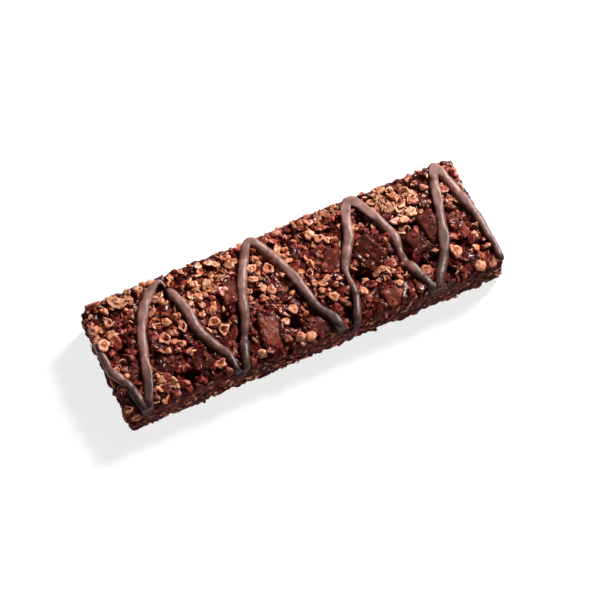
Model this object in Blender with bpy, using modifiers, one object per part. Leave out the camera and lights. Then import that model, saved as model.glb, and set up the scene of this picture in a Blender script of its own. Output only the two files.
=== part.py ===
"""Granola bar: a pressed bar of oat flakes and puffed grains with chocolate chunks and a drizzle.

The bar is one solid: a bumpy core with the flakes, the puffs and the drizzle fused to it.
Each chocolate chunk is a solid of its own, seated in a pocket of the bar.
+X runs along the bar, +Z points up, and the origin is the middle of the flat underside.
"""

import math
import random

import bmesh
import bpy
from mathutils import Euler, Matrix, Vector, noise
from mathutils.bvhtree import BVHTree

# Driving sizes, in metres
MM = 0.001
BAR_LENGTH = 108.0 * MM
BAR_WIDTH = 34.0 * MM
BAR_HEIGHT = 12.7 * MM

# Pressed core, before the flakes and puffs that stand out of it
CORE_INSET = 1.1 * MM
CORE_TOP = 11.0 * MM
CORE_EDGE_ROUNDING = 2.4 * MM
CORE_GRID = 3.0 * MM
CORE_BUMP_HEIGHT = 0.7 * MM
CORE_BUMP_SPACING = 4.5 * MM
UNDERSIDE_BAND = 0.9 * MM

# Oat flakes and puffed grains
FLAKE_LENGTH = (3.4 * MM, 5.2 * MM)
FLAKE_THICKNESS = 1.15 * MM
FLAKE_ASPECT = (0.62, 0.88)
FLAKE_TILT = math.radians(18)
FLAKE_PROUD = 0.25 * MM
FLAKE_SIDES = 6
FLAKE_RINGS = 3
PUFF_DIAMETER = (2.3 * MM, 3.2 * MM)
PUFF_PROUD = 0.24
PIECE_SPACING = 5.15 * MM
PIECE_TRIES = 6000
DRIZZLE_CLEARANCE = 2.0 * MM
FLAKE_SHARE = 0.55
SEED = 13

# Chocolate chunks
POCKET_GAP = 0.3 * MM
CHUNK_BEVEL = 0.7 * MM
CHUNK_JITTER = 0.10

# Drizzle: a bead laid to and fro across the bar
DRIZZLE_WIDTH = 2.4 * MM
DRIZZLE_LIFT = 0.4 * MM
DRIZZLE_STEP = 2.9 * MM
DRIZZLE_SMOOTHING = 2

# Each chunk: middle (x, y), length, width and depth in mm, its tilt towards -Y and +X and its turn in
# degrees, and the height of its highest corner in mm
CHUNKS = (
    (-10.6, -9.8, 6.6, 8.4, 5.8, 4, 20, -8, 12.6),
    (-15.6, 4.4, 5.2, 7.6, 4.6, 3, 6, -12, 12.0),
    (22.5, 0.5, 7.4, 8.4, 5.8, 6, -8, 20, 12.6),
    (12.0, 2.2, 4.8, 7.4, 4.8, 6, 8, -34, 12.1),
    (0.4, -13.0, 7.0, 5.0, 4.8, 10, 2, -6, 12.0),
    (40.1, 1.4, 5.4, 7.2, 5.2, 4, -6, 10, 12.4),
    (34.3, -2.2, 5.0, 7.2, 5.4, 4, 8, 16, 12.5),
    (46.6, -0.8, 4.8, 5.8, 4.8, 3, 5, 10, 12.0),
    (-44.0, 2.6, 4.8, 7.2, 4.6, 4, -7, -8, 12.1),
    (-47.2, -5.8, 4.6, 5.4, 4.6, 5, -5, 18, 11.8),
    (-29.8, -10.4, 6.4, 5.8, 5.0, 6, -5, 20, 11.9),
    (22.8, -13.2, 6.2, 5.2, 4.6, 14, 3, 4, 12.0),
    (-39.0, -7.2, 5.0, 4.8, 4.6, 8, -4, -14, 11.9),
)

# Hollows between the pieces on the top face (x, y, radius, depth) in mm
HOLLOWS = (
    (-34.8, -12.6, 3.8, 1.9),
    (-17.6, -7.0, 3.2, 2.0),
    (-31.8, 11.8, 3.0, 1.8),
    (18.0, -4.8, 3.6, 2.0),
    (30.0, -4.2, 3.2, 2.0),
    (36.6, 3.4, 3.0, 1.8),
    (-49.4, 0.4, 3.0, 1.4),
    (10.6, -12.0, 3.2, 1.6),
    (-3.8, -8.4, 3.0, 1.4),
    (-20.0, 0.6, 3.0, 1.5),
)

# Puffs that stand out by themselves on the top face (x, y, diameter) in mm
LARGE_PUFFS = (
    (-22.8, -2.8, 4.8),
    (-36.4, -0.5, 3.4),
    (-30.9, 0.5, 3.1),
    (-52.0, 4.0, 3.2),
    (-4.0, 6.6, 3.3),
    (-15.0, -15.2, 2.8),
    (-8.0, 8.6, 2.9),
    (8.4, -8.0, 3.0),
    (16.0, -9.6, 2.8),
    (10.4, 11.0, 3.2),
    (36.3, 6.9, 3.6),
    (43.2, -9.0, 4.4),
    (46.6, -14.6, 3.0),
    (33.5, -11.2, 3.0),
    (25.6, -6.6, 2.8),
    (-41.4, -12.2, 4.2),
)

# Turns and bends of the drizzle (x, y, drop below the top face) in mm
DRIZZLE_ROUTE = (
    (-54.0, 5.5, 0.6),
    (-53.7, -2.0, 0.0),
    (-50.3, -10.0, 0.0),
    (-49.2, -16.0, 0.4),
    (-48.5, -17.0, 4.2),
    (-47.4, -15.6, 0.2),
    (-44.8, -9.0, 0.0),
    (-42.0, -2.0, 0.0),
    (-40.2, 4.0, 0.0),
    (-36.5, 11.0, 0.0),
    (-32.4, 14.6, 0.2),
    (-30.6, 12.6, 0.8),
    (-28.2, 4.5, 0.0),
    (-27.0, -3.0, 0.0),
    (-23.4, -10.0, 0.0),
    (-22.9, -15.0, 1.2),
    (-22.2, -17.0, 3.0),
    (-20.4, -16.0, 1.0),
    (-18.6, -10.5, 0.0),
    (-15.3, -3.8, 0.0),
    (-13.0, 3.0, 0.0),
    (-9.8, 10.5, 0.0),
    (-6.0, 15.4, 0.2),
    (-3.2, 13.0, 0.0),
    (0.4, 4.5, 0.0),
    (1.9, -3.5, 0.0),
    (3.4, -10.0, 0.0),
    (5.5, -15.0, 0.2),
    (7.4, -17.0, 4.0),
    (10.6, -16.2, 1.0),
    (13.5, -9.5, 0.0),
    (14.2, -1.5, 0.0),
    (18.6, 5.0, 0.0),
    (21.4, 13.0, 0.0),
    (24.2, 14.9, 0.0),
    (27.4, 9.4, 0.0),
    (29.3, 1.0, 0.0),
    (29.0, -6.5, 0.0),
    (32.0, -12.0, 0.0),
    (33.4, -17.0, 4.4),
    (35.2, -15.2, 0.2),
    (40.5, -6.0, 0.0),
    (44.0, 3.0, 0.0),
    (46.4, 11.0, 0.0),
    (48.0, 15.4, 0.2),
    (50.3, 8.5, 0.0),
    (52.4, -2.0, 0.2),
    (53.0, -12.0, 0.4),
    (52.6, -16.2, 1.6),
)

CHOCOLATE_COLOUR = (0.085, 0.022, 0.012, 1.0)
OAT_COLOUR = (0.17, 0.075, 0.045, 1.0)


def clear_scene():
    """Remove whatever the file held, so that the script can run again."""
    for item in list(bpy.data.objects):
        bpy.data.objects.remove(item, do_unlink=True)


def new_collection(name):
    """Return an empty collection linked to the scene."""
    old = bpy.data.collections.get(name)
    if old is not None:
        bpy.data.collections.remove(old)
    collection = bpy.data.collections.new(name)
    bpy.context.scene.collection.children.link(collection)
    return collection


def make_material(name, colour, roughness):
    """Return a Principled material."""
    material = bpy.data.materials.new(name)
    material.use_nodes = True
    shader = material.node_tree.nodes["Principled BSDF"]
    shader.inputs["Base Color"].default_value = colour
    shader.inputs["Roughness"].default_value = roughness
    shader.inputs["Metallic"].default_value = 0.0
    material.diffuse_color = colour
    return material


def mesh_object(name, shape, collection):
    """Turn a bmesh into an object in the collection, with its faces pointing out."""
    if shape.calc_volume(signed=True) < 0:
        bmesh.ops.reverse_faces(shape, faces=shape.faces)
    mesh = bpy.data.meshes.new(name)
    shape.to_mesh(mesh)
    shape.free()
    item = bpy.data.objects.new(name, mesh)
    collection.objects.link(item)
    return item


def apply_modifiers(item):
    """Replace the object's mesh with the one that its modifiers make."""
    depsgraph = bpy.context.evaluated_depsgraph_get()
    made = bpy.data.meshes.new_from_object(item.evaluated_get(depsgraph))
    item.modifiers.clear()
    item.data = made


def boolean(item, operation, other=None, others=None, solver="EXACT"):
    """Join or cut the object with one other object or with a whole collection."""
    modifier = item.modifiers.new(operation.title(), "BOOLEAN")
    modifier.operation = operation
    modifier.solver = solver
    if others is not None:
        modifier.operand_type = "COLLECTION"
        modifier.collection = others
    else:
        modifier.object = other
    apply_modifiers(item)


def remove_objects(items):
    """Remove the objects that a Boolean has used up."""
    for item in list(items):
        bpy.data.objects.remove(item, do_unlink=True)


def keep_inside(point):
    """Hold a point inside the bar's outer box."""
    return Vector((
        max(-BAR_LENGTH / 2, min(BAR_LENGTH / 2, point.x)),
        max(-BAR_WIDTH / 2, min(BAR_WIDTH / 2, point.y)),
        max(0.0, min(BAR_HEIGHT, point.z)),
    ))


def hollow_depth(place):
    """Return how far the top face sinks at a place, in metres."""
    depth = 0.0
    for x, y, radius, deepest in HOLLOWS:
        away = math.hypot(place.x / MM - x, place.y / MM - y) / radius
        if away < 1.0:
            depth = max(depth, deepest * MM * (1 - away ** 2))
    return depth


def make_core(collection):
    """Return the core: a rounded block on an even grid, with bumps everywhere but underneath."""
    length = BAR_LENGTH - 2 * CORE_INSET
    width = BAR_WIDTH - 2 * CORE_INSET
    shape = bmesh.new()
    bmesh.ops.create_cube(shape, size=1.0)
    bmesh.ops.scale(shape, vec=(length, width, CORE_TOP), verts=shape.verts)
    bmesh.ops.translate(shape, vec=(0, 0, CORE_TOP / 2), verts=shape.verts)
    upper_edges = [edge for edge in shape.edges if max(v.co.z for v in edge.verts) > CORE_TOP / 2]
    bmesh.ops.bevel(shape, geom=upper_edges, offset=CORE_EDGE_ROUNDING, segments=4, profile=0.5, affect="EDGES")
    core = mesh_object("granola_core", shape, collection)
    grid = core.modifiers.new("Grid", "REMESH")
    grid.mode = "VOXEL"
    grid.voxel_size = CORE_GRID
    apply_modifiers(core)

    shape = bmesh.new()
    shape.from_mesh(core.data)
    shape.normal_update()
    moves = {}
    for vertex in shape.verts:
        bump = noise.noise(vertex.co / CORE_BUMP_SPACING) + 0.5 * noise.noise(vertex.co / CORE_BUMP_SPACING * 2.3)
        moves[vertex] = vertex.co + vertex.normal * (bump * CORE_BUMP_HEIGHT)
        if vertex.co.z > CORE_TOP / 2:
            moves[vertex].z -= hollow_depth(vertex.co)
    for vertex, place in moves.items():
        low = vertex.co.z < UNDERSIDE_BAND
        vertex.co = keep_inside(place)
        if low:
            vertex.co.z = 0.0
    flatten_underside(shape)
    shape.to_mesh(core.data)
    shape.free()
    return core


def flatten_underside(shape):
    """Merge the faces that lie on the table into one flat face."""
    flat = [face for face in shape.faces if max(v.co.z for v in face.verts) < 0.01 * MM]
    bmesh.ops.dissolve_faces(shape, faces=flat, use_verts=True)
    bmesh.ops.triangulate(shape, faces=shape.faces)


def surface_tree(item):
    """Return a search tree over the object's faces."""
    shape = bmesh.new()
    shape.from_mesh(item.data)
    tree = BVHTree.FromBMesh(shape)
    shape.free()
    return tree


def seat(tree, x, y, drop=0.0):
    """Return the place and the normal on the core nearest to a point of the top face, in mm."""
    target = Vector((x * MM, y * MM, CORE_TOP - drop * MM))
    place, normal, _, _ = tree.find_nearest(target)
    return place, normal


def facing(normal, turn, tilt_x=0.0, tilt_y=0.0):
    """Return a rotation that points +Z along the normal, then turns and tilts the piece."""
    upright = normal.to_track_quat("Z", "Y").to_matrix()
    return (upright @ Euler((tilt_x, tilt_y, turn)).to_matrix()).to_4x4()


def shape_piece(shape, matrix, roughness, rng):
    """Place a piece, roughen its outline and hold it inside the bar's box."""
    offset = Vector((rng.random(), rng.random(), rng.random())) * 50
    for vertex in shape.verts:
        swell = 1.0 + roughness * noise.noise(vertex.co * 1.3 + offset)
        vertex.co = keep_inside(matrix @ (vertex.co * swell))


def add_flake(collection, place, normal, rng):
    """Add a rolled oat: a thin oval disc lying along the surface."""
    length = rng.uniform(*FLAKE_LENGTH)
    width = length * rng.uniform(*FLAKE_ASPECT)
    turn = rng.uniform(0, 2 * math.pi)
    tilt = [rng.uniform(-FLAKE_TILT, FLAKE_TILT) for _ in range(2)]
    shape = bmesh.new()
    bmesh.ops.create_uvsphere(shape, u_segments=FLAKE_SIDES, v_segments=FLAKE_RINGS, radius=1.0)
    size = Matrix.Diagonal((length / 2, width / 2, FLAKE_THICKNESS / 2, 1.0))
    centre = place + normal * FLAKE_PROUD
    shape_piece(shape, Matrix.Translation(centre) @ facing(normal, turn, *tilt) @ size, 0.25, rng)
    mesh_object("flake", shape, collection)


def add_puff(collection, place, normal, diameter, rng):
    """Add a puffed grain: a small lumpy ball sunk to below its middle."""
    shape = bmesh.new()
    bmesh.ops.create_icosphere(shape, subdivisions=1, radius=1.0)
    centre = place + normal * (diameter * PUFF_PROUD / 2)
    size = Matrix.Diagonal((diameter / 2, diameter / 2, diameter * 0.44, 1.0))
    turn = rng.uniform(0, 2 * math.pi)
    shape_piece(shape, Matrix.Translation(centre) @ facing(normal, turn) @ size, 0.2, rng)
    mesh_object("puff", shape, collection)


def over_chunk(place):
    """Say whether a place lies on the outline of a chunk."""
    if place.z < CORE_TOP - CORE_EDGE_ROUNDING:
        return False
    for x, y, length, width, _, _, _, turn, _ in CHUNKS:
        across = Matrix.Rotation(-math.radians(turn), 2) @ Vector((place.x / MM - x, place.y / MM - y))
        if abs(across.x) < length / 2 + 0.5 and abs(across.y) < width / 2 + 0.5:
            return True
    return False


def scatter(core, taken, line, rng):
    """Return places and normals spread evenly over the core's top and sides, clear of the drizzle's line."""
    faces = [face for face in core.data.polygons if face.center.z > UNDERSIDE_BAND]
    areas = [face.area for face in faces]
    places = []
    for face in rng.choices(faces, weights=areas, k=PIECE_TRIES):
        corners = [core.data.vertices[index].co for index in face.vertices]
        shares = sorted((rng.random(), rng.random()))
        weights = (shares[0], shares[1] - shares[0], 1 - shares[1])
        place = sum((corner * weight for corner, weight in zip(corners, weights)), Vector())
        crowded = any((place - other).length < PIECE_SPACING for other in taken)
        covered = any((place - other).length < DRIZZLE_CLEARANCE for other in line)
        if crowded or covered or over_chunk(place):
            continue
        taken.append(place)
        places.append((place, face.normal.copy()))
    return places


def chunk_shape(spec, number, grow):
    """Return one chunk: a broken block of chocolate with worn edges, larger all round by grow."""
    x, y, length, width, depth, tilt_x, tilt_y, turn, peak = spec
    rng = random.Random(number)
    shape = bmesh.new()
    bmesh.ops.create_cube(shape, size=1.0)
    for vertex in shape.verts:
        jitter = Vector([rng.uniform(-CHUNK_JITTER, CHUNK_JITTER) for _ in range(3)])
        vertex.co = vertex.co + jitter
    size = Vector((length * MM, width * MM, depth * MM))
    for vertex in shape.verts:
        vertex.co = Vector([part * whole for part, whole in zip(vertex.co, size)])
    bmesh.ops.bevel(shape, geom=shape.edges, offset=CHUNK_BEVEL, segments=1, affect="EDGES")
    bmesh.ops.triangulate(shape, faces=shape.faces)
    tilt = Euler((math.radians(tilt_x), math.radians(tilt_y), math.radians(turn)))
    shape.transform(tilt.to_matrix().to_4x4())
    highest = max(vertex.co.z for vertex in shape.verts)
    shape.transform(Matrix.Translation((x * MM, y * MM, peak * MM - highest)))
    shape.normal_update()
    grown = {vertex: vertex.co + vertex.normal * grow for vertex in shape.verts}
    for vertex, spot in grown.items():
        vertex.co = spot
    return shape


def smooth_route(points):
    """Return points every DRIZZLE_STEP along a smooth curve through the given points."""
    spots = [Vector(point) * MM for point in points]
    spots = [2 * spots[0] - spots[1]] + spots + [2 * spots[-1] - spots[-2]]
    fine = []
    for a, b, c, d in zip(spots, spots[1:], spots[2:], spots[3:]):
        for step in range(12):
            t = step / 12
            fine.append(0.5 * (2 * b + (c - a) * t + (2 * a - 5 * b + 4 * c - d) * t ** 2
                               + (3 * b - a - 3 * c + d) * t ** 3))
    fine.append(spots[-2])
    route = [fine[0]]
    travelled = 0.0
    for before, after in zip(fine, fine[1:]):
        travelled += (after - before).length
        if travelled >= DRIZZLE_STEP:
            route.append(after)
            travelled = 0.0
    return route


def drizzle_line(tree):
    """Return the middle line of the drizzle, draped over the core."""
    line = []
    for spot in smooth_route(DRIZZLE_ROUTE):
        place, normal = seat(tree, spot.x / MM, spot.y / MM, spot.z / MM)
        line.append(place + normal * DRIZZLE_LIFT)
    for _ in range(DRIZZLE_SMOOTHING):
        line = [line[0]] + [(a + 2 * b + c) / 4 for a, b, c in zip(line, line[1:], line[2:])] + [line[-1]]
    return line


def drizzle_tube(name, line, grow, collection):
    """Return the drizzle as a closed tube along its line, thicker all round by grow."""
    curve = bpy.data.curves.new(name, "CURVE")
    curve.dimensions = "3D"
    curve.bevel_depth = DRIZZLE_WIDTH / 2 + grow
    curve.bevel_resolution = 1
    curve.use_fill_caps = True
    spline = curve.splines.new("POLY")
    spline.points.add(len(line) - 1)
    for point, place in zip(spline.points, line):
        point.co = (*place, 1.0)
        point.radius = 1.0 + 0.16 * noise.noise(place * 160)
    guide = bpy.data.objects.new(name + "_curve", curve)
    collection.objects.link(guide)
    depsgraph = bpy.context.evaluated_depsgraph_get()
    mesh = bpy.data.meshes.new_from_object(guide.evaluated_get(depsgraph))
    shape = bmesh.new()
    shape.from_mesh(mesh)
    bmesh.ops.remove_doubles(shape, verts=shape.verts, dist=0.001 * MM)
    bmesh.ops.triangulate(shape, faces=shape.faces)
    for vertex in shape.verts:
        vertex.co = keep_inside(vertex.co)
    tube = mesh_object(name, shape, collection)
    tube.matrix_world = guide.matrix_world
    bpy.data.objects.remove(guide, do_unlink=True)
    bpy.data.meshes.remove(mesh)
    return tube


def keep_largest_body(item):
    """Drop the scraps and fill the sealed hollows that a Boolean leaves."""
    shape = bmesh.new()
    shape.from_mesh(item.data)
    unseen = set(shape.verts)
    bodies = []
    while unseen:
        body = {unseen.pop()}
        edge_of_body = list(body)
        while edge_of_body:
            vertex = edge_of_body.pop()
            for edge in vertex.link_edges:
                other = edge.other_vert(vertex)
                if other in unseen:
                    unseen.remove(other)
                    body.add(other)
                    edge_of_body.append(other)
        bodies.append(body)
    bodies.sort(key=len)
    spare = [vertex for body in bodies[:-1] for vertex in body]
    bmesh.ops.delete(shape, geom=spare, context="VERTS")
    bmesh.ops.triangulate(shape, faces=shape.faces)
    shape.to_mesh(item.data)
    shape.free()


def finish(item, material):
    """Give the object its material and smooth shading with crisp folds."""
    item.data.materials.clear()
    item.data.materials.append(material)
    item.data.shade_smooth()
    item.data.set_sharp_from_angle(angle=math.radians(40))


def build():
    """Build the bar and its chunks."""
    clear_scene()
    parts = new_collection("granola_bar")
    toppings = new_collection("granola_bar_toppings")
    cutters = new_collection("granola_bar_cutters")
    rng = random.Random(SEED)

    bar = make_core(parts)
    bar.name = "bar"
    tree = surface_tree(bar)
    line = drizzle_line(tree)

    taken = []
    for x, y, diameter in LARGE_PUFFS:
        place, normal = seat(tree, x, y)
        taken.append(place)
        add_puff(toppings, place, normal, diameter * MM, rng)
    for place, normal in scatter(bar, taken, line, rng):
        if rng.random() < FLAKE_SHARE:
            add_flake(toppings, place, normal, rng)
        else:
            add_puff(toppings, place, normal, rng.uniform(*PUFF_DIAMETER), rng)
    boolean(bar, "UNION", others=toppings)
    remove_objects(toppings.objects)

    for number, spec in enumerate(CHUNKS, start=1):
        mesh_object("pocket", chunk_shape(spec, number, POCKET_GAP), cutters)
    boolean(bar, "DIFFERENCE", others=cutters)
    remove_objects(cutters.objects)

    drizzle = drizzle_tube("drizzle", line, 0.0, toppings)
    boolean(bar, "UNION", other=drizzle, solver="MANIFOLD")
    remove_objects([drizzle])
    keep_largest_body(bar)
    finish(bar, make_material("oats_and_syrup", OAT_COLOUR, 0.5))

    chocolate = make_material("dark_chocolate", CHOCOLATE_COLOUR, 0.35)
    groove = drizzle_tube("drizzle_groove", line, POCKET_GAP, cutters)
    groove.hide_render = True
    groove.display_type = "WIRE"
    for number, spec in enumerate(CHUNKS, start=1):
        chunk = mesh_object(f"chocolate_chunk_{number:02d}", chunk_shape(spec, number, 0.0), parts)
        boolean(chunk, "DIFFERENCE", other=groove, solver="MANIFOLD")
        keep_largest_body(chunk)
        finish(chunk, chocolate)


build()
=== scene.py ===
"""Looks of a granola bar: dark pressed oats and puffed grains, chocolate chunks and a drizzle.

Lengths are in millimetres until make_mesh turns them into metres. +X runs along the bar, +Y to its
back and +Z up.
"""

import math
import random

import bmesh
import bpy
import numpy as np
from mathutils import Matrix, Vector
from mathutils.bvhtree import BVHTree
from mathutils.kdtree import KDTree


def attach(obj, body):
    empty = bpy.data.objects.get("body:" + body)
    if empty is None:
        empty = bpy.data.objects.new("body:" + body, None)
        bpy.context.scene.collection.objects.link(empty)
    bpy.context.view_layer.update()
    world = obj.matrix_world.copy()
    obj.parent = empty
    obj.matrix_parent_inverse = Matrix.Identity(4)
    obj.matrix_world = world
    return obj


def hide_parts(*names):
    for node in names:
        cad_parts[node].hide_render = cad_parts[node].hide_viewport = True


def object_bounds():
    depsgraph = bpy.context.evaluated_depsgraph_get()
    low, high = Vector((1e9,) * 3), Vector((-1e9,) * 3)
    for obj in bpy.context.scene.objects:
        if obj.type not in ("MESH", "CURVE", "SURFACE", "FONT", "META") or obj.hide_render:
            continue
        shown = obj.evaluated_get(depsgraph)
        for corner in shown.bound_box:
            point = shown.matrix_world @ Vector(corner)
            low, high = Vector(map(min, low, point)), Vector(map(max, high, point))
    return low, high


MM = 0.001

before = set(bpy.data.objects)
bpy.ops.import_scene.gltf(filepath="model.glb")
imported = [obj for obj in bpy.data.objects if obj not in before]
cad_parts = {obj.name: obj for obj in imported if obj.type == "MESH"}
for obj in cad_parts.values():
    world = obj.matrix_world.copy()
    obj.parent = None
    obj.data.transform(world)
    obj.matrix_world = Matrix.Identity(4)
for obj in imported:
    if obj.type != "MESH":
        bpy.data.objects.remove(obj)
CAD_LOW, CAD_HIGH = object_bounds()
BAR_LENGTH = (CAD_HIGH.x - CAD_LOW.x) / MM
BAR_WIDTH = (CAD_HIGH.y - CAD_LOW.y) / MM
BAR_HEIGHT = CAD_HIGH.z / MM
CHUNK_NODES = sorted(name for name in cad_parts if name.startswith("chocolate_chunk"))

# How far the visible surface stays inside the box of the solids
BOX_MARGIN = 0.05

# Pressed core under the loose pieces
CORE_INSETS = {"left": 1.2, "right": 0.65, "front": 0.75, "back": 0.55}
CORE_TOP = 10.4
CORE_BOTTOM = 1.0
CORE_ROUNDING = 1.35
CORE_WAVES = 0.35
CORE_WAVE_LENGTH = 19.0
CORE_VOXEL = 0.42
LUMP_SPACING = 1.75
LUMP_SIZE = ((0.9, 1.9), (0.75, 1.4), (0.5, 0.95))
LUMP_SINK = (-0.45, 0.55)
GRAIN_SPACING = 1.0
GRAIN_RELIEF = 0.22
UNDERSIDE_HEIGHT = 0.5
UNDERSIDE_FLATTENING = 0.35

# Top edge at the back, from where it starts to where it is full: lifted, with a bulge, cut at the left end
BACK_EDGE = (11.0, 16.0)
BACK_EDGE_LIFT = 1.0
BULGE_X = 16.0
BULGE_REACH = 13.0
BULGE_LIFT = 0.6
BULGE_OUT = 0.4
LEFT_CORNER_X = (-49.5, -54.5)
LEFT_CORNER_Y = (7.0, 17.0)
LEFT_CORNER_CUT = 1.8
UPPER_PART = (5.0, 9.0)

# Loose pieces: closest spacing of their middles and range of their sizes
NUGGET_SPACING = 2.45
NUGGET_SIZE = (1.4, 3.1)
LARGE_NUGGET = 1.9
PUFF_SPACING = 5.0
PUFF_SIZE = (1.7, 2.6)
PUFF_OPENINGS = (0.0, 0.1, 0.3, 0.45)
FLAKE_SPACING = 2.7
FLAKE_LENGTH = (1.8, 4.2)
FLAKE_THICKNESS = (0.5, 0.8)
CRUMB_SPACING = 1.8
CRUMB_SIZE = (0.8, 1.7)
SLIVER_SPACING = 5.0
SLIVER_LENGTH = (1.6, 3.2)
COATED_KINDS = ("coated_oats", "cocoa_nuggets", "cocoa_crumbs")
PALE_KINDS = ("toasted_oats", "bran_slivers")
PUFFED_KINDS = ("puffed_grains", "golden_nuggets", "golden_crumbs")

# Tries at places for each kind, of which the spacing keeps some
LUMP_TRIES = 26000
GRAIN_TRIES = 30000
NUGGET_TRIES = 16000
PUFF_TRIES = 9000
FLAKE_TRIES = 16000
CRUMB_TRIES = 34000
SLIVER_TRIES = 5000

# Shares of the puffs and crumbs left out on the sides, and of the crumbs on bare chunks and in gaps
SIDE_PUFFS_OUT = 0.5
SIDE_CRUMBS_OUT = 0.4
CHUNK_CRUMBS_OUT = 0.87
GAP_CRUMBS_OUT = 0.7

# How much of a gap's radius stays free of pieces
GAP_SHARE = 0.85

# How far up a piece its dark syrup reaches, in mm
SYRUP_REACH = 1.0

# Wet syrup: size of its patches, softness of their edges, and the heights between which it sets in
SYRUP_SCALE = 300.0
SYRUP_EDGE = 0.14
SYRUP_HEIGHTS = (10.1, 11.4)

# Fine light and dark grain in every colour
SPECKLES = ((0.32, (0.55, 0.5, 0.48)), (0.68, (1.25, 1.22, 1.2)))

CHUNK_VOXEL = 0.25

# Drizzle bead
DRIZZLE_WIDTH = 2.75
DRIZZLE_HEIGHT = 1.8
DRIZZLE_SHARE_ABOVE = 0.62
DRIZZLE_STEP = 0.4
DRIZZLE_SIDES = 16
DRIZZLE_VOXEL = 0.24
DRIZZLE_SMOOTHING = 10
DRIZZLE_REACH = 3
DRIZZLE_CLEARANCE = 1.7
DRIZZLE_RISE = 0.7
DRIZZLE_BED = 0.25
DRIZZLE_END = 1.3

# Where the drizzle swells or thins (x, y, reach, share of its full width)
DRIZZLE_CHANGES = (
    (-44.6, -8, 2, 1.22), (-41.4, 0, 1.6, 1.12), (-31.2, 13.4, 2.2, 0.35), (-22.8, -14.6, 2.2, 0.6),
    (-17.8, -7.6, 1.8, 0.78), (14.2, -4, 3.4, 0.66), (12.2, -11.4, 3, 0.72), (22.4, 14, 2.6, 1.15),
    (29, -2.4, 2, 0.62), (41.6, -3.4, 2, 1.25), (45.9, 9.4, 2.4, 1.12), (-5.8, 15.6, 2.2, 0.78),
    (48.4, 15.6, 2.2, 0.82), (-47.9, -17, 2.4, 0.8), (-21.7, -17, 2.4, 0.8), (9, -17, 2.6, 0.62),
    (33.5, -17, 2.4, 0.85),
)

# Turns and bends of the drizzle (x, y, drop below the top face)
DRIZZLE_ROUTE = (
    (-54, 6.4, 1.6), (-53.6, 2.6, 0.2), (-52.5, -2.8, 0), (-50, -9.2, 0), (-48.9, -14.8, 0.2),
    (-48.1, -16.6, 3.6), (-47.1, -15, 0.2), (-44.9, -9.6, 0), (-43.4, -3.6, 0), (-41.1, 4, 0),
    (-37, 11, 0), (-32, 14.8, 0.2), (-30.1, 12, 0.8), (-28.2, 4.5, 0), (-27.6, -1.6, 0), (-25.9, -6.4, 0),
    (-23.4, -11.4, 0), (-22.9, -15.4, 1.6), (-21.9, -16.6, 3.2), (-20.2, -15.4, 1), (-18.4, -10.5, 0),
    (-15.2, -3.8, 0), (-13.1, 3, 0), (-9.4, 10.5, 0), (-5.8, 15.6, 0), (-2.9, 12.6, 0), (0.2, 4.9, 0),
    (2, -2.6, 0), (3.2, -8.8, 0), (5.2, -12.2, 0), (6.9, -16, 3.4), (9.2, -16.6, 4.2), (11.4, -15, 2),
    (13.7, -9.5, 0), (14.3, -1.9, 0), (16.9, 2.9, 0), (19.4, 7.2, 0), (21.1, 12.8, 0), (23.9, 15.4, 0),
    (27.4, 9.6, 0), (29.9, 2.4, 0), (29.5, -4.8, 0), (31.4, -11, 0), (33.5, -16.6, 4.2),
    (35.4, -14.6, 0.2), (40.8, -6.4, 0), (44, 3, 0), (46.5, 11.4, 0), (48.4, 15.6, 0.2), (50.6, 8.5, 0),
    (52.4, -2, 0.2), (53, -11.6, 0.4), (52.8, -16, 1.6),
)

# Dark gaps between the pieces on top (x, y, radius, depth)
GAPS = (
    (-31.8, 12, 2.2, 3.64), (-34.8, -12.6, 2.8, 2.6), (-17.8, -8.6, 2.6, 3.64), (-16.4, -4.6, 2, 3.12),
    (-47.8, 1.2, 2.6, 2.34), (-33, -1.8, 1.6, 2.34), (-24.6, -9, 1.8, 2.08), (-19.8, -1, 1.9, 2.34),
    (-10.4, 1.2, 1.8, 2.6), (-4.4, -9.6, 2.6, 2.34), (-8.4, -15.6, 1.8, 2.08), (5, 13.8, 1.8, 2.08),
    (3.6, -6, 1.6, 2.34), (9.6, -13.4, 2.4, 2.6), (12.6, -10, 1.8, 2.34), (17.4, -4.6, 2.6, 3.38),
    (19.6, -6, 2, 2.86), (24.4, 9.8, 1.8, 2.34), (30.8, 4.2, 1.7, 2.86), (30.2, -5.6, 2.8, 3.64),
    (33.4, -8.4, 2, 2.86), (37, -8.2, 1.8, 2.34), (36.4, 2.6, 1.9, 3.38), (39, -13.6, 2, 1.56),
    (45.2, -6.4, 1.5, 2.08), (50, -9.6, 1.5, 1.56),
)

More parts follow.
